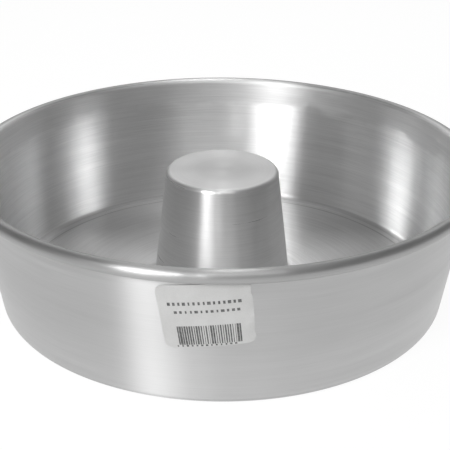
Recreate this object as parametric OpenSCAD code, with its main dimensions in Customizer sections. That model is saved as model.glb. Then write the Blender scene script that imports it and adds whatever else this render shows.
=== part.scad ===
// Ring cake pan of spun aluminium, with a closed cone in the middle and a paper label outside.
// Millimetres. The pan stands on z = 0 with its axis on Z, and the label faces -Y.

/* [Pan] */
// Height from the table to the top of the rolled edge
pan_h = 60; // [50:1:90]
// Diameter inside the mouth, between the rolled edges
mouth_d = 202; // [192:1:240]
// Diameter of the flat underside, where the bend up to the wall begins
base_d = 180; // [150:1:186]
// Thickness of the aluminium sheet
sheet_t = 1; // [0.6:0.1:1.4]
// Outside radius of the bend between the floor and the wall
corner_r = 4; // [2.5:0.5:10]

/* [Rolled edge] */
// Outside diameter of the bead that the edge is rolled into
bead_d = 5.2; // [4:0.2:8]
// Slit between the end of the rolled sheet and the wall
bead_slit = 0.3; // [0.2:0.05:0.6]

/* [Centre cone] */
// Height from the table to the flat top of the cone
cone_h = 53; // [25:1:80]
// Diameter of the cone's flat top, inside its round edge
cone_top_d = 43; // [20:1:50]
// Diameter at which the floor begins to bend up into the cone
cone_foot_d = 66; // [60:1:100]
// Outside radius of the edge round the cone's top
cone_edge_r = 2; // [1.6:0.2:6]
// Radius of the hollow bend at the cone's foot, on the side of the cake
cone_foot_r = 4; // [1:0.5:8]

/* [Label] */
// Width of the paper label
label_w = 32; // [15:1:50]
// Height of the paper label
label_h = 26.5; // [12:0.5:30]
// Radius of the label's corners
label_corner_r = 3; // [0.5:0.5:5]
// Thickness of the paper
label_t = 0.2; // [0.1:0.05:0.3]
// Thickness of the glue behind the paper
glue_t = 0.1; // [0.05:0.05:0.2]
// Angle that the label is turned anticlockwise, as seen from in front
label_turn = 6; // [-15:1:15]
// Angle round the pan from the front to the middle of the label, to the left
label_side = 3; // [-90:1:90]
// Distance along the wall from the bead down to the label's highest corner
label_drop = 0.4; // [0.3:0.1:5]

/* [Hidden] */
$fn = 144;

bead_r = bead_d / 2;
// Largest angle that one straight side of a bend in the section turns through
bend_step = 10;

// Lean from the vertical of a straight run that passes two bends at a set total distance
function lean(out, up, apart) = acos(apart / norm([out, up])) - atan2(up, out);

// Bend centres, each as [radius from the axis, height]
corner_at = [base_d / 2, corner_r];
bead_at = [mouth_d / 2 + bead_r, pan_h - bead_r];
foot_at = [cone_foot_d / 2, sheet_t + cone_foot_r];
edge_at = [cone_top_d / 2, cone_h - cone_edge_r];

wall_lean = lean(bead_at.x - corner_at.x, bead_at.y - corner_at.y, corner_r - sheet_t + bead_r);
cone_lean = lean(foot_at.x - edge_at.x, edge_at.y - foot_at.y, cone_foot_r + cone_edge_r);

// Directions in the section: up along the wall, and out of its outer face
wall_up = [sin(wall_lean), cos(wall_lean)];
wall_out = [cos(wall_lean), -sin(wall_lean)];

// Angle at the bead's centre between the wall and the end of the rolled sheet
bead_open = acos((bead_r - sheet_t - bead_slit) / bead_r);

// Where the label sits on the wall
wall_len = (bead_at - corner_at) * wall_up;
label_half_h = (label_w / 2 - label_corner_r) * abs(sin(label_turn))
    + (label_h / 2 - label_corner_r) * cos(label_turn) + label_corner_r;
label_up = wall_len - bead_r - label_drop - label_half_h;
label_reach = norm([label_w, label_h]) / 2;

// Point on the outside of the wall: up it from the bottom bend, and out from its face
function wall_point(up, out) = corner_at + (corner_r + out) * wall_out + up * wall_up;

// Points along a bend round a centre, from one angle to another
function arc(centre, r, from, to) =
    let (steps = ceil(abs(to - from) / bend_step))
    [for (i = [0:steps]) let (a = from + (to - from) * i / steps) centre + r * [cos(a), sin(a)]];

// One face of the sheet from the axis to the end of the bead, at a depth below the side that the cake touches
function sheet_face(depth) = concat(
    [[0, cone_h - depth]],
    arc(edge_at, cone_edge_r - depth, 90, cone_lean),
    arc(foot_at, cone_foot_r + depth, 180 + cone_lean, 270),
    arc(corner_at, corner_r - sheet_t + depth, -90, -wall_lean),
    arc(bead_at, bead_r - depth, 180 - wall_lean, bead_open - 180 - wall_lean)
);

function reversed(points) = [for (i = [len(points) - 1:-1:0]) points[i]];

module pan_body() {
    color("silver") rotate_extrude() polygon(concat(sheet_face(0), reversed(sheet_face(sheet_t))));
}

// Band right round the wall that the label is cut from, a layer of glue away from the metal
module label_band() {
    low = label_up - label_reach;
    high = label_up + label_reach;
    rotate_extrude() polygon([
        wall_point(low, glue_t), wall_point(low, glue_t + label_t),
        wall_point(high, glue_t + label_t), wall_point(high, glue_t)
    ]);
}

// Outline of the label, a rectangle with round corners
module label_outline() {
    across = label_w - 2 * label_corner_r;
    down = label_h - 2 * label_corner_r;
    square([label_w, down], center = true);
    square([across, label_h], center = true);
    for (x = [-1, 1], y = [-1, 1])
        translate([x * across, y * down] / 2) circle(r = label_corner_r);
}

module price_label() {
    middle = wall_point(label_up, 0);
    color("white") intersection() {
        label_band();
        rotate([0, 0, -label_side]) translate([0, -middle.x, middle.y]) rotate([90 + wall_lean, 0, 0])
            linear_extrude(height = label_w, center = true) rotate(label_turn) label_outline();
    }
}

pan_body();
price_label();
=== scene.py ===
import math

import bpy
from mathutils import Matrix, Vector


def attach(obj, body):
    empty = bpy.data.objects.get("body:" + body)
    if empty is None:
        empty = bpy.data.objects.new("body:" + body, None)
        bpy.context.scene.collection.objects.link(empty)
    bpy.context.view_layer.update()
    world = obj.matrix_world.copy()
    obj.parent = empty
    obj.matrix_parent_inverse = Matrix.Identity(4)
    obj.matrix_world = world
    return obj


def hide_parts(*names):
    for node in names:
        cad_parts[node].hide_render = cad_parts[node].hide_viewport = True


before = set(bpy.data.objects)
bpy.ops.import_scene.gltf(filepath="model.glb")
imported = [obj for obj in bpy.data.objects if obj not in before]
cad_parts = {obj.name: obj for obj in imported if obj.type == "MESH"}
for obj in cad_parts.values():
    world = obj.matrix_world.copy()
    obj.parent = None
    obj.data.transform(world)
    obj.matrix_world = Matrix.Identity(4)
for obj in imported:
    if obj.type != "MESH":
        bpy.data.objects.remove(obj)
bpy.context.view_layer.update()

# The camera.
# It stands 41 cm in front of the pan's axis and 22 cm up, and looks 25 degrees down at the side with the label.
# From so near, the far rim looks clearly smaller than the near one.

camera_place = Vector((0.0, -0.405296, 0.218378))
camera_yaw, camera_pitch, camera_roll = 0.003, 0.441, 0.005
camera_lens_mm, camera_sensor_mm = 84.03, 36.0

ahead = Vector((
    math.sin(camera_yaw) * math.cos(camera_pitch),
    math.cos(camera_yaw) * math.cos(camera_pitch),
    -math.sin(camera_pitch),
))
level_right = Vector((math.cos(camera_yaw), -math.sin(camera_yaw), 0.0))
level_up = level_right.cross(ahead)
camera_right = math.cos(camera_roll) * level_right + math.sin(camera_roll) * level_up
camera_up = camera_right.cross(ahead)
camera_turn = Matrix((camera_right, camera_up, -ahead)).transposed().to_4x4()

camera = bpy.data.objects.new("camera", bpy.data.cameras.new("camera"))
camera.data.sensor_width = camera_sensor_mm
camera.data.lens = camera_lens_mm
camera.matrix_world = Matrix.Translation(camera_place) @ camera_turn
bpy.context.scene.collection.objects.link(camera)
bpy.context.scene.camera = camera

# The pan.
# One disc of aluminium sheet, pressed and spun on a lathe: floor, leaning wall, rolled edge and drawn cone.
# Its section is worked out once and turned round the axis, as the lathe turned the metal.

sheet = 0.001
pan_height = 0.060
mouth_radius = 0.101
base_radius = 0.090
corner_radius = 0.004
bead_radius = 0.0026
bead_slit = 0.0003
cone_height = 0.053
cone_top_radius = 0.0215
cone_edge_radius = 0.002
cone_foot_radius = 0.0348
cone_foot_bend = 0.006
groove_radius = 0.0883
groove_width = 0.0012
groove_depth = 0.00012

corner_centre = Vector((base_radius, corner_radius))
bead_centre = Vector((mouth_radius + bead_radius, pan_height - bead_radius))
foot_centre = Vector((cone_foot_radius, sheet + cone_foot_bend))
edge_centre = Vector((cone_top_radius, cone_height - cone_edge_radius))
cone_run = Vector((foot_centre.x - edge_centre.x, edge_centre.y - foot_centre.y))


def lean(run, apart):
    """Angle from the vertical of a straight run that passes two bends at a set total distance."""
    return math.acos(apart / run.length) - math.atan2(run.y, run.x)


wall_lean = lean(bead_centre - corner_centre, corner_radius - sheet + bead_radius)
cone_lean = lean(cone_run, cone_foot_bend + cone_edge_radius)
bead_end = math.acos((bead_radius - sheet - bead_slit) / bead_radius)
quarter = math.pi / 2


def bend(centre, radius, start, stop, step=math.radians(7)):
    """Points of a bend in the section, from one angle to another."""
    steps = math.ceil(abs(stop - start) / step)
    angles = [start + (stop - start) * i / steps for i in range(steps + 1)]
    return [centre + radius * Vector((math.cos(a), math.sin(a))) for a in angles]


def with_rings(points, spacing=0.0025):
    """The same section with rings at even steps along its straight runs, so that the light turns smoothly."""
    full = [points[0]]
    for a, b in zip(points, points[1:]):
        parts = max(1, math.ceil((b - a).length / spacing))
        full += [a.lerp(b, i / parts) for i in range(1, parts + 1)]
    return full


def tool_ring(middle, width, depth, steps=8):
    """A shallow groove that the spinning tool presses into the floor, just inside the bend up to the wall."""
    turns = [i / steps for i in range(steps + 1)]
    return [
        Vector((middle + width * (t - 0.5), sheet - depth * (1 - math.cos(math.tau * t)) / 2)) for t in turns
    ]


def sheet_face(depth, ring=()):
    """One face of the sheet from the axis to the cut edge in the bead, at a depth below the cake's side."""
    return with_rings(
        [Vector((0.0, cone_height - depth))]
        + bend(edge_centre, cone_edge_radius - depth, quarter, cone_lean)
        + bend(foot_centre, cone_foot_bend + depth, math.pi + cone_lean, 3 * quarter)
        + list(ring)
        + bend(corner_centre, corner_radius - sheet + depth, -quarter, -wall_lean)
        + bend(bead_centre, bead_radius - depth, math.pi - wall_lean, bead_end - math.pi - wall_lean)
    )


section = sheet_face(0.0, tool_ring(groove_radius, groove_width, groove_depth)) + sheet_face(sheet)[::-1]


def put(tree, kind, inputs=None, **settings):
    """A node with its settings, whose inputs are given as values or as other nodes' outputs."""
    node = tree.nodes.new(kind)
    for name, value in settings.items():
        setattr(node, name, value)
    for key, value in (inputs or {}).items():
        if isinstance(value, bpy.types.NodeSocket):
            tree.links.new(value, node.inputs[key])
        else:
            node.inputs[key].default_value = value
    return node


def calc(tree, operation, a, b=0.0):
    """The result of one sum in a tree."""
    return put(tree, "ShaderNodeMath", {0: a, 1: b}, operation=operation).outputs[0]


def total(tree, first, *others):
    """Values of a tree added together."""
    for other in others:
        first = calc(tree, "ADD", first, other)
    return first


def product(tree, first, *others):
    """Values of a tree multiplied together."""
    for other in others:
        first = calc(tree, "MULTIPLY", first, other)
    return first


def largest(tree, first, *others):
    """The largest of several values of a tree."""
    for other in others:
        first = calc(tree, "MAXIMUM", first, other)
    return first


def less(tree, a, b):
    """One value of a tree less another."""
    return calc(tree, "SUBTRACT", a, b)


def distance(tree, x, y):
    """How far two steps at right angles lead."""
    return calc(tree, "SQRT", total(tree, product(tree, x, x), product(tree, y, y)))


def split(tree, vector):
    """The three parts of a vector."""
    return tuple(put(tree, "ShaderNodeSeparateXYZ", {0: vector}).outputs)


def joined(tree, x=0.0, y=0.0, z=0.0):
    """A vector from its three parts."""
    return put(tree, "ShaderNodeCombineXYZ", {0: x, 1: y, 2: z}).outputs[0]


def noise(tree, place, scale, detail, roughness=0.5):
    """Soft noise at a place, from 0 to 1."""
    return put(tree, "ShaderNodeTexNoise", {
        "Vector": place, "Scale": scale, "Detail": detail, "Roughness": roughness,
    }).outputs[0]


def swing(tree, value):
    """A value from 0 to 1, made to swing evenly about nothing."""
    return less(tree, value, 0.5)


def socket(tree, name, kind, way="INPUT", value=None):
    """A named input or output of a tree."""
    made = tree.interface.new_socket(name, in_out=way, socket_type=kind)
    if value is not None:
        made.default_value = value


def lathe_tree():
    """Turns a section, a row of points from pole to pole, round the axis and closes it."""
    tree = bpy.data.node_groups.new("turn_section", "GeometryNodeTree")
    socket(tree, "Section", "NodeSocketGeometry")
    socket(tree, "Sides", "NodeSocketInt", value=256)
    socket(tree, "Waviness", "NodeSocketFloat", value=0.0)
    socket(tree, "Waves per metre", "NodeSocketFloat", value=20.0)
    socket(tree, "Flats", "NodeSocketFloat", value=0.2)
    socket(tree, "Metal", "NodeSocketMaterial")
    socket(tree, "Pan", "NodeSocketGeometry", "OUTPUT")
    given = put(tree, "NodeGroupInput").outputs
    result = put(tree, "NodeGroupOutput")

    # A grid with one column for each side, and one spare that meets the first
    size = put(tree, "GeometryNodeAttributeDomainSize", {0: given["Section"]})
    rings = size.outputs["Point Count"]
    grid = put(tree, "GeometryNodeMeshGrid", {"Vertices X": total(tree, given["Sides"], 1.0), "Vertices Y": rings})
    index = put(tree, "GeometryNodeInputIndex").outputs[0]
    side = calc(tree, "FLOOR", calc(tree, "DIVIDE", total(tree, index, 0.5), rings))
    ring = less(tree, index, product(tree, side, rings))
    here = put(tree, "GeometryNodeInputPosition").outputs[0]
    sample = put(
        tree, "GeometryNodeSampleIndex", {"Geometry": given["Section"], "Index": ring},
        data_type="FLOAT_VECTOR", domain="POINT",
    )
    tree.links.new(here, sample.inputs["Value"])
    section_radius, _, height = split(tree, sample.outputs[0])

    # The pan isn't quite round: its wall waves by less than a hair, least at the floor and at the axis
    angle = product(tree, side, calc(tree, "DIVIDE", math.tau, given["Sides"]))
    cosine, sine = calc(tree, "COSINE", angle), calc(tree, "SINE", angle)
    spot = joined(tree, cosine, sine, product(tree, height, given["Waves per metre"]))
    slow_waves, quick_waves = 1.6, 7.0
    slow = noise(tree, spot, slow_waves, 1.0)
    quick = noise(tree, spot, quick_waves, 0.0)
    uneven = total(tree, slow, product(tree, swing(tree, quick), given["Flats"]))
    wave = product(tree, swing(tree, uneven), given["Waviness"])
    full_wave_from = 0.02
    rise = calc(tree, "MINIMUM", calc(tree, "DIVIDE", height, full_wave_from), 1.0)
    reach = calc(tree, "MINIMUM", calc(tree, "DIVIDE", section_radius, full_wave_from), 1.0)
    radius = total(tree, section_radius, product(tree, wave, rise, reach))
    place = joined(tree, product(tree, radius, cosine), product(tree, radius, sine), height)

    turned = put(tree, "GeometryNodeSetPosition", {"Geometry": grid.outputs["Mesh"], "Position": place}).outputs[0]
    closed = put(tree, "GeometryNodeMergeByDistance", {"Geometry": turned, "Distance": 1e-6}).outputs[0]
    smooth = put(tree, "GeometryNodeSetShadeSmooth", {"Geometry": closed}).outputs[0]
    real = put(tree, "GeometryNodeRealizeInstances", {"Geometry": smooth}).outputs[0]
    metal = put(tree, "GeometryNodeSetMaterial", {"Geometry": real, "Material": given["Metal"]}).outputs[0]
    tree.links.new(metal, result.inputs[0])
    return tree


def grown(name, start, tree, settings, sharp_from=math.radians(40)):
    """The plain mesh object that a tree makes of a starting mesh, once its modifier is gone."""
    maker = bpy.data.objects.new(name + "_maker", start)
    bpy.context.scene.collection.objects.link(maker)
    modifier = maker.modifiers.new("shape", "NODES")
    modifier.node_group = tree
    named = {item.name: item.identifier for item in tree.interface.items_tree if item.in_out == "INPUT"}
    for key, value in settings.items():
        modifier[named[key]] = value
    ready = maker.evaluated_get(bpy.context.evaluated_depsgraph_get())
    made = bpy.data.meshes.new_from_object(ready)
    bpy.data.objects.remove(maker)
    made.name = name
    made.set_sharp_from_angle(angle=sharp_from)
    piece = bpy.data.objects.new(name, made)
    bpy.context.scene.collection.objects.link(piece)
    return piece


def marks_group():
    """Turning marks: lines that run round the axis, as a value from 0 to 1 for colour, roughness or bump."""
    group = bpy.data.node_groups.new("turning_marks", "ShaderNodeTree")
    socket(group, "Rows per metre", "NodeSocketFloat", value=1000.0)
    socket(group, "Breaks per metre", "NodeSocketFloat", value=50.0)
    socket(group, "Fineness", "NodeSocketFloat", value=2.0)
    socket(group, "Contrast", "NodeSocketFloat", value=1.0)
    socket(group, "Slant", "NodeSocketFloat", value=0.0)
    socket(group, "Marks", "NodeSocketFloat", "OUTPUT")
    given = put(group, "NodeGroupInput").outputs
    result = put(group, "NodeGroupOutput")
    x, y, height = split(group, put(group, "ShaderNodeTexCoord").outputs["Object"])
    sideways = product(group, total(group, x, y), given["Slant"])
    along_section = total(group, height, distance(group, x, y), sideways)
    spot = joined(
        group,
        product(group, x, given["Breaks per metre"]),
        product(group, y, given["Breaks per metre"]),
        product(group, along_section, given["Rows per metre"]),
    )
    grain = noise(group, spot, 1.0, given["Fineness"], 0.6)
    spread = product(group, swing(group, grain), given["Contrast"])
    value = put(group, "ShaderNodeClamp", {"Value": total(group, spread, 0.5)}).outputs[0]
    group.links.new(value, result.inputs["Marks"])
    return group


turning_marks = marks_group()


def marks(tree, rows, breaks, fineness, contrast, slant=0.0):
    """Turning marks of one kind in a material."""
    return put(tree, "ShaderNodeGroup", node_tree=turning_marks, inputs={
        "Rows per metre": rows, "Breaks per metre": breaks,
        "Fineness": fineness, "Contrast": contrast, "Slant": slant,
    }).outputs["Marks"]


def ramp(tree, value, low, high, to_low=0.0, to_high=1.0, kind="SMOOTHSTEP"):
    """A value carried from one range to another, held at its ends."""
    ends = {0: value, 1: low, 2: high, 3: to_low, 4: to_high}
    return put(tree, "ShaderNodeMapRange", ends, interpolation_type=kind).outputs[0]


def blend(tree, share, a, b):
    """A value between two, by a share from 0 to 1."""
    return put(tree, "ShaderNodeMix", {0: share, 2: a, 3: b}).outputs[0]


def tint(tree, share, dark, light):
    """A colour between two, by a share from 0 to 1."""
    return put(tree, "ShaderNodeMix", {0: share, 6: dark, 7: light}, data_type="RGBA").outputs[2]


def grey(tone):
    """A plain grey, as metal and ink have it."""
    return tone, tone, tone, 1.0


def bump(tree, height, strength, depth):
    """The normal of a surface with small heights on it."""
    return put(tree, "ShaderNodeBump", {"Height": height, "Strength": strength, "Distance": depth}).outputs[0]


def new_material(name):
    """An empty material and its tree."""
    material = bpy.data.materials.new(name)
    material.use_nodes = True
    material.node_tree.nodes.clear()
    return material, material.node_tree


def spun_metal():
    """Spun aluminium: brushed round the axis, with satin in it on the cone, the bead and under the rim."""
    metal, tree = new_material("spun_aluminium")
    place = put(tree, "ShaderNodeTexCoord").outputs["Object"]
    x, y, height = split(tree, place)
    radius = distance(tree, x, y)
    foot_radius = less(tree, radius, product(tree, height, math.tan(wall_lean)))
    clouds = noise(tree, place, 60.0, 3.0)
    stains = noise(tree, place, 14.0, 2.0)

    # The outside and the underside. Each pair of sizes says where a finish starts and where it is full.
    outer_face, underside = (0.0928, 0.0931), (0.0006, 0.0003)
    outside = largest(tree, ramp(tree, foot_radius, *outer_face), ramp(tree, height, *underside))
    not_outside = less(tree, 1.0, outside)

    # The bead, from its top outwards: its inner half is brushed as the wall is
    bead_edge, bead_top = (0.0030, 0.0027), (-0.0014, -0.0004)
    past_bead, over_bead = less(tree, radius, bead_centre.x), less(tree, height, bead_centre.y)
    bead = ramp(tree, distance(tree, past_bead, over_bead), *bead_edge)
    rolled = product(tree, bead, ramp(tree, past_bead, *bead_top))

    # The band under the rim, whose lower edge is ragged
    inner_face, band_edge, raggedness = (0.0880, 0.0895), (0.0465, 0.0500), 0.012
    inside = product(tree, ramp(tree, foot_radius, *inner_face), not_outside)
    ragged_height = total(tree, height, product(tree, swing(tree, clouds), raggedness))
    rim_band = product(tree, ramp(tree, ragged_height, *band_edge), inside)

    # The cone's side and its top, whose rim is turned and a little less satin
    side_radii, side_heights = (0.0330, 0.0300), (0.0015, 0.0060)
    cone = product(tree, ramp(tree, radius, *side_radii), ramp(tree, height, *side_heights))
    top_radii, top_heights, top_rim = (0.0234, 0.0224), (0.050, 0.051), (0.010, 0.016)
    cone_top = product(tree, ramp(tree, radius, *top_radii), ramp(tree, height, *top_heights))
    turned_top = product(tree, cone_top, ramp(tree, radius, *top_rim, 1.0, 0.85))

    # Painted shade: colour darkened in the groove and in the bend up to the wall, where shade falls in the crease
    bend_heights, bend_radii, groove_edge = (0.0030, 0.0020), (0.0906, 0.0914), (0.0006, 0.0002)
    bend_top = product(tree, ramp(tree, height, *bend_heights), ramp(tree, radius, *bend_radii))
    from_groove = calc(tree, "ABSOLUTE", less(tree, radius, groove_radius))
    groove = product(tree, ramp(tree, from_groove, *groove_edge), not_outside)
    painted_crease_shade = largest(tree, product(tree, bend_top, 0.55), product(tree, groove, 0.5))

    # The marks that the tools left, and finer scratches inside, some of which cross them at a slant
    scuffs = marks(tree, 1900.0, 45.0, 3.0, 2.0)
    rings = marks(tree, 420.0, 9.0, 2.0, 1.6)
    crossed = ramp(tree, marks(tree, 1500.0, 60.0, 2.0, 1.8, 0.02), 0.62, 0.80)
    lines = ramp(tree, marks(tree, 1700.0, 22.0, 1.0, 1.8), 0.66, 0.82)
    scratch_depth = ramp(tree, outside, 0.0, 1.0, 0.06, 0.0)
    mixed = total(tree, product(tree, scuffs, 0.55), product(tree, rings, 0.45))
    marked = less(tree, mixed, product(tree, total(tree, crossed, lines), scratch_depth))
    evened = total(tree, product(tree, marked, 0.64), 0.18)
    streaks = blend(tree, outside, marked, evened)

    # Colours of the brushed faces, duller outside than in
    wall_dark, wall_light = grey(0.70), grey(0.90)
    cone_dark, cone_light = grey(0.65), grey(0.77)
    outer_dark, outer_light = grey(0.50), grey(0.63)
    bead_dark, bead_light = grey(0.38), grey(0.46)
    painted_shade_grey = grey(0.42)
    wall_colour = tint(tree, streaks, wall_dark, wall_light)
    cone_colour = tint(tree, streaks, cone_dark, cone_light)
    inner_colour = tint(tree, cone, wall_colour, cone_colour)
    # Painted reflection: the outside is made lighter in colour towards the bottom, where it stands in for the white
    # floor's reflection
    painted_reflection_from, painted_reflection_to = 0.034, 0.006
    painted_floor_reflection = ramp(tree, height, painted_reflection_from, painted_reflection_to, 0.0, 0.45)
    outer_mix = total(tree, product(tree, streaks, 0.6), product(tree, stains, 0.4), painted_floor_reflection)
    outer_colour = tint(tree, outer_mix, outer_dark, outer_light)
    bead_colour = tint(tree, mixed, bead_dark, bead_light)
    unshaded_colour = tint(tree, rolled, tint(tree, outside, inner_colour, outer_colour), bead_colour)
    # The painted shade of the groove and the bend is mixed into the colour here
    brushed_colour = tint(tree, painted_crease_shade, unshaded_colour, painted_shade_grey)

    # Roughness of the brushed faces, lowest in the light streaks
    duller = total(tree, product(tree, rim_band, 0.14), product(tree, outside, 0.04))
    wall_rough = total(tree, ramp(tree, streaks, 0.1, 0.9, 0.37, 0.27, "LINEAR"), duller)
    cone_rough = ramp(tree, streaks, 0.1, 0.9, 0.42, 0.25, "LINEAR")
    bead_rough = ramp(tree, mixed, 0.1, 0.9, 0.33, 0.28, "LINEAR")
    brushed_rough = blend(tree, rolled, blend(tree, cone, wall_rough, cone_rough), bead_rough)

    # The brush ran round the axis, so light smears across its marks, up and down the section
    mark_depth = 0.0001
    across = put(tree, "ShaderNodeTangent", direction_type="RADIAL", axis="Z").outputs[0]
    brushed_depth = ramp(tree, largest(tree, outside, cone), 0.0, 1.0, 0.28, 0.08)
    brushed = put(tree, "ShaderNodeBsdfPrincipled", {
        "Base Color": brushed_colour, "Metallic": 1.0, "Roughness": brushed_rough,
        "Normal": bump(tree, mixed, brushed_depth, mark_depth),
        "Tangent": across, "Anisotropic": 1.0, "Anisotropic Rotation": 0.25,
    })

    # The satin, with fewer streaks on the cone's top and duller towards its centre
    satin_dark, satin_light = grey(0.63), grey(0.70)
    centre_radii = 0.0190, 0.0080
    scuffed = ramp(tree, cone_top, 0.0, 1.0, 0.5, 0.15)
    soft = total(tree, product(tree, scuffs, scuffed), product(tree, clouds, less(tree, 1.0, scuffed)))
    open_satin = tint(tree, ramp(tree, soft, 0.25, 0.75), satin_dark, satin_light)
    centre = product(tree, ramp(tree, radius, *centre_radii), 0.2)
    satin_rough = total(tree, ramp(tree, soft, 0.25, 0.75, 0.48, 0.56), centre)
    satin_depth = ramp(tree, cone_top, 0.0, 1.0, 0.25, 0.1)
    satin = put(tree, "ShaderNodeBsdfPrincipled", {
        "Base Color": tint(tree, rolled, open_satin, bead_colour), "Metallic": 1.0, "Roughness": satin_rough,
        "Normal": bump(tree, soft, satin_depth, mark_depth),
        "Tangent": across, "Anisotropic": 0.2, "Anisotropic Rotation": 0.25,
    })
    satin_share = largest(
        tree, product(tree, largest(tree, rim_band, rolled), 0.4), turned_top, product(tree, cone, 0.35),
    )
    mix = put(tree, "ShaderNodeMixShader", {0: satin_share, 1: brushed.outputs[0], 2: satin.outputs[0]})
    put(tree, "ShaderNodeOutputMaterial", {0: mix.outputs[0]})
    return metal


section_mesh = bpy.data.meshes.new("pan_section")
section_mesh.from_pydata(
    [(p.x, 0.0, p.y) for p in section], [(i, i + 1) for i in range(len(section) - 1)], [],
)
pan = grown("spun_pan", section_mesh, lathe_tree(), {
    "Sides": 256, "Waviness": 0.00012, "Waves per metre": 20.0, "Flats": 0.2, "Metal": spun_metal(),
})
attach(pan, "root")
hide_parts("pan_body")

# The label.
# A small self-adhesive paper label, pressed on by hand just under the rolled edge and turned a few degrees.
# Its print is plain: bars and short dashes in grey ink that spell nothing. Its right edge has come up a little.

label_width = 0.032
label_height = 0.0265
label_corner = 0.003
paper = 0.0002
glue = 0.0001
ink = 0.00003
edge_lift = 0.0005
edge_fray = 0.0014
label_turn = math.radians(6)
label_side = math.radians(3)
label_drop = 0.0004

wall_up = Vector((math.sin(wall_lean), math.cos(wall_lean)))
wall_out = Vector((math.cos(wall_lean), -math.sin(wall_lean)))
half_high = (
    (label_width / 2 - label_corner) * abs(math.sin(label_turn))
    + (label_height / 2 - label_corner) * math.cos(label_turn) + label_corner
)
label_up = (bead_centre - corner_centre).dot(wall_up) - bead_radius - label_drop - half_high
label_foot = corner_centre + (corner_radius + glue) * wall_out + label_up * wall_up

# Each row of print: number of marks, left end, right end, middle, height, narrowest and widest share of the pitch
print_rows = (
    (27, -0.0110, 0.0114, -0.0081, 0.0080, 0.15, 1.00),
    (15, -0.0130, 0.0126, 0.0054, 0.0013, 0.30, 0.75),
    (13, -0.0112, 0.0120, 0.0019, 0.0011, 0.30, 0.70),
    (13, -0.0122, 0.0098, -0.0126, 0.0007, 0.25, 0.50),
)


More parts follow.
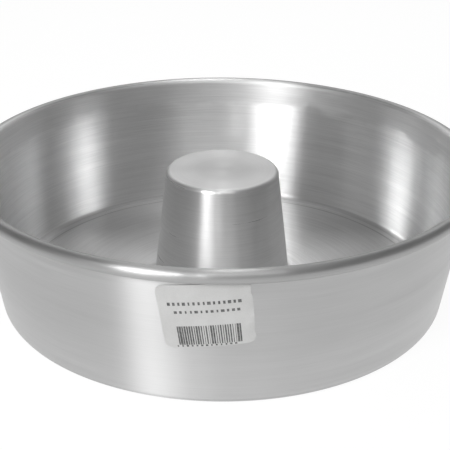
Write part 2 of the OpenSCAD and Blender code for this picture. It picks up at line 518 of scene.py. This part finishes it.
def label_tree():
    """A flat sheet with round corners and printed marks, bent onto a leaning round wall."""
    tree = bpy.data.node_groups.new("bend_label", "GeometryNodeTree")
    socket(tree, "Start", "NodeSocketGeometry")
    for name, value in (
        ("Width", label_width), ("Height", label_height), ("Corner", label_corner), ("Thickness", paper),
        ("Ink", ink), ("Turn", label_turn), ("Side", label_side), ("Lift", edge_lift), ("Fray", edge_fray),
        ("Wall radius", label_foot.x), ("Wall height", label_foot.y), ("Wall lean", wall_lean),
    ):
        socket(tree, name, "NodeSocketFloat", value=value)
    socket(tree, "Seed", "NodeSocketInt", value=5)
    socket(tree, "Paper", "NodeSocketMaterial")
    socket(tree, "Print", "NodeSocketMaterial")
    socket(tree, "Label", "NodeSocketGeometry", "OUTPUT")
    given = put(tree, "NodeGroupInput").outputs
    result = put(tree, "NodeGroupOutput")

    # The sheet: a grid whose rows are narrowed in the round corners and fray at the right edge
    sheet_columns, sheet_rows = 49, 61
    fray_waves, frayed_from, elsewhere = 260.0, 0.55, 3.7
    grid = put(tree, "GeometryNodeMeshGrid", {
        "Size X": 2.0, "Size Y": 2.0, "Vertices X": sheet_columns, "Vertices Y": sheet_rows,
    }).outputs["Mesh"]
    over, along, _ = split(tree, put(tree, "GeometryNodeInputPosition").outputs[0])
    high, wide = product(tree, given["Height"], 0.5), product(tree, given["Width"], 0.5)
    up = product(tree, calc(tree, "SINE", product(tree, along, quarter)), high)
    into_corner = less(tree, calc(tree, "ABSOLUTE", up), less(tree, high, given["Corner"]))
    into = largest(tree, into_corner, 0.0)
    square = less(tree, product(tree, given["Corner"], given["Corner"]), product(tree, into, into))
    cut = less(tree, given["Corner"], calc(tree, "SQRT", largest(tree, square, 0.0)))
    ripple = noise(tree, joined(tree, 0.0, product(tree, up, fray_waves), elsewhere), 1.0, 1.0)
    fray = product(tree, swing(tree, ripple), given["Fray"], ramp(tree, over, frayed_from, 1.0))
    sideways = total(tree, product(tree, over, less(tree, wide, cut)), fray)
    flat = put(tree, "GeometryNodeSetPosition", {"Geometry": grid, "Position": joined(tree, sideways, up)}).outputs[0]
    raised = put(tree, "GeometryNodeExtrudeMesh", {
        "Mesh": flat, "Offset": (0.0, 0.0, 1.0), "Offset Scale": given["Thickness"], "Individual": False,
    }, mode="FACES").outputs["Mesh"]
    under = put(tree, "GeometryNodeFlipFaces", {"Mesh": flat}).outputs[0]
    both = put(tree, "GeometryNodeJoinGeometry")
    tree.links.new(raised, both.inputs[0])
    tree.links.new(under, both.inputs[0])
    slab = put(tree, "GeometryNodeMergeByDistance", {"Geometry": both.outputs[0], "Distance": 1e-6}).outputs[0]
    sheet_done = put(tree, "GeometryNodeSetMaterial", {"Geometry": slab, "Material": given["Paper"]}).outputs[0]

    # The print: rows of upright marks with widths drawn from the seed, each sunk a little into the paper
    sunk = 0.4
    everything = put(tree, "GeometryNodeJoinGeometry")
    tree.links.new(sheet_done, everything.inputs[0])
    for number, (count, first, last, middle, tall, least, most) in enumerate(print_rows):
        pitch = (last - first) / count
        line = put(tree, "GeometryNodeMeshLine", {
            "Count": count, "Start Location": (first + pitch / 2, middle, 0.0), "Offset": (pitch, 0.0, 0.0),
        }).outputs[0]
        width = put(tree, "FunctionNodeRandomValue", {
            2: least * pitch, 3: most * pitch, "Seed": total(tree, given["Seed"], float(number)),
        }, data_type="FLOAT").outputs[1]
        block = put(tree, "GeometryNodeMeshCube", {"Size": (1.0, 1.0, 1.0)}).outputs["Mesh"]
        printed = put(tree, "GeometryNodeInstanceOnPoints", {
            "Points": line, "Instance": block, "Scale": joined(tree, width, tall, given["Ink"]),
        }).outputs[0]
        real = put(tree, "GeometryNodeRealizeInstances", {"Geometry": printed}).outputs[0]
        lift = joined(tree, 0.0, 0.0, total(tree, given["Thickness"], product(tree, given["Ink"], sunk)))
        moved = put(tree, "GeometryNodeSetPosition", {"Geometry": real, "Offset": lift}).outputs[0]
        inked = put(tree, "GeometryNodeSetMaterial", {"Geometry": moved, "Material": given["Print"]}).outputs[0]
        tree.links.new(inked, everything.inputs[0])

    # The bend: turned a little, lifted at the right edge, and laid round the wall
    lifted_from, lift_waves = 0.72, 170.0
    over, along, thick = split(tree, put(tree, "GeometryNodeInputPosition").outputs[0])
    cosine, sine = calc(tree, "COSINE", given["Turn"]), calc(tree, "SINE", given["Turn"])
    across = less(tree, product(tree, over, cosine), product(tree, along, sine))
    upwards = total(tree, product(tree, over, sine), product(tree, along, cosine))
    near_edge = ramp(tree, over, product(tree, wide, lifted_from), wide)
    flutter = noise(tree, joined(tree, 0.0, product(tree, along, lift_waves)), 1.0, 0.0)
    out = total(tree, thick, product(tree, near_edge, ramp(tree, flutter, 0.35, 0.7), given["Lift"]))
    lean_sine, lean_cosine = calc(tree, "SINE", given["Wall lean"]), calc(tree, "COSINE", given["Wall lean"])
    radius = total(
        tree, given["Wall radius"], product(tree, upwards, lean_sine), product(tree, out, lean_cosine),
    )
    height = less(
        tree, total(tree, given["Wall height"], product(tree, upwards, lean_cosine)), product(tree, out, lean_sine),
    )
    angle = less(tree, calc(tree, "DIVIDE", across, given["Wall radius"]), given["Side"])
    place = joined(
        tree, product(tree, radius, calc(tree, "SINE", angle)),
        product(tree, radius, calc(tree, "COSINE", angle), -1.0), height,
    )
    bent = put(tree, "GeometryNodeSetPosition", {"Geometry": everything.outputs[0], "Position": place}).outputs[0]
    smooth = put(tree, "GeometryNodeSetShadeSmooth", {"Geometry": bent}).outputs[0]
    done = put(tree, "GeometryNodeRealizeInstances", {"Geometry": smooth}).outputs[0]
    tree.links.new(done, result.inputs[0])
    return tree


def paper_finish():
    """Smooth white label paper, with faint fibres and a little grey where hands have touched it."""
    material, tree = new_material("label_paper")
    touched, clean = (0.53, 0.53, 0.525, 1.0), (0.60, 0.60, 0.595, 1.0)
    fibre_depth = 0.00005
    place = put(tree, "ShaderNodeTexCoord").outputs["Object"]
    fibres = noise(tree, place, 2500.0, 4.0)
    smudge = noise(tree, place, 120.0, 3.0)
    shade = total(tree, product(tree, fibres, 0.4), product(tree, smudge, 0.6))
    surface = put(tree, "ShaderNodeBsdfPrincipled", {
        "Base Color": tint(tree, ramp(tree, shade, 0.3, 0.7), touched, clean),
        "Roughness": ramp(tree, smudge, 0.3, 0.7, 0.45, 0.6),
        "Normal": bump(tree, fibres, 0.1, fibre_depth),
    })
    put(tree, "ShaderNodeOutputMaterial", {0: surface.outputs[0]})
    return material


def ink_finish():
    """Grey print from a thermal printer, a little uneven."""
    material, tree = new_material("label_print")
    ink_dark, ink_light = grey(0.07), grey(0.16)
    uneven = noise(tree, put(tree, "ShaderNodeTexCoord").outputs["Object"], 900.0, 3.0)
    colour = tint(tree, ramp(tree, uneven, 0.3, 0.7), ink_dark, ink_light)
    surface = put(tree, "ShaderNodeBsdfPrincipled", {"Base Color": colour, "Roughness": 0.6})
    put(tree, "ShaderNodeOutputMaterial", {0: surface.outputs[0]})
    return material


label = grown("price_sticker", bpy.data.meshes.new("label_start"), label_tree(), {
    "Paper": paper_finish(), "Print": ink_finish(), "Seed": 5,
})
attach(label, "root")
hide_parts("price_label")

# The floor.
# A plain white table top that runs back far enough to be the whole background.
# What the camera and the metal see of it is lit evenly to white, and the pan's shadow stays on it.

floor_radius = 6.0
floor_sides = 96
floor_height = -0.0001
floor_glow_share, floor_glow = 0.88, 1.05
floor_tone = grey(0.9)

corners = [math.tau * i / floor_sides for i in range(floor_sides)]
table_mesh = bpy.data.meshes.new("table")
table_mesh.from_pydata(
    [(floor_radius * math.cos(a), floor_radius * math.sin(a), floor_height) for a in corners],
    [], [tuple(range(floor_sides))],
)
table = bpy.data.objects.new("table", table_mesh)
bpy.context.scene.collection.objects.link(table)
table_white, tree = new_material("table_white")
rays = put(tree, "ShaderNodeLightPath").outputs
looks = total(tree, rays["Is Camera Ray"], rays["Is Glossy Ray"], rays["Is Transmission Ray"])
seen = calc(tree, "MINIMUM", looks, 1.0)
matt = put(tree, "ShaderNodeBsdfDiffuse", {"Color": floor_tone})
glow = put(tree, "ShaderNodeEmission", {"Color": grey(1.0), "Strength": floor_glow})
surface = put(tree, "ShaderNodeMixShader", {
    0: product(tree, seen, floor_glow_share), 1: matt.outputs[0], 2: glow.outputs[0],
})
put(tree, "ShaderNodeOutputMaterial", {0: surface.outputs[0]})
table_mesh.materials.append(table_white)

# The light.
# A dim studio. One wide soft box stands left of the camera and behind it, with two small ones nearer and lower.
# Their light falls on the walls, and once more from wall to wall. The rest are weak lamps above and behind.

studio_tone = grey(0.228)

world = bpy.data.worlds.new("studio")
world.use_nodes = True
world.node_tree.nodes["Background"].inputs["Color"].default_value = studio_tone
world.node_tree.nodes["Background"].inputs["Strength"].default_value = 1.0
bpy.context.scene.world = world


def soft_box(name, place, wide, tall, power):
    """A lamp at a place, which faces the middle of the pan."""
    lamp = bpy.data.lights.new(name, "AREA")
    lamp.shape, lamp.size, lamp.size_y, lamp.energy = "RECTANGLE", wide, tall, power
    stand = bpy.data.objects.new(name, lamp)
    place = Vector(place)
    facing = (place - Vector((0.0, 0.0, pan_height / 2))).to_track_quat("Z", "Y")
    stand.matrix_world = Matrix.Translation(place) @ facing.to_matrix().to_4x4()
    bpy.context.scene.collection.objects.link(stand)


soft_box("key_far", (-0.37, -0.653, 0.47), 0.36, 0.20, 2.9)
soft_box("key_near", (-0.25, -0.43, 0.25), 0.10, 0.14, 0.34)
soft_box("key_edge", (-0.07, -0.495, 0.25), 0.044, 0.14, 0.09)
soft_box("front_top", (0.06, -0.38, 0.50), 0.30, 0.17, 0.40)
soft_box("overhead", (0.016, 0.20, 0.60), 0.09, 0.20, 0.32)
soft_box("top_fill", (0.0, 0.0, 0.60), 0.60, 0.60, 0.40)
soft_box("back_fill", (0.0, 0.55, 0.45), 0.90, 0.30, 0.91)

bpy.context.scene.view_settings.view_transform = "Standard"
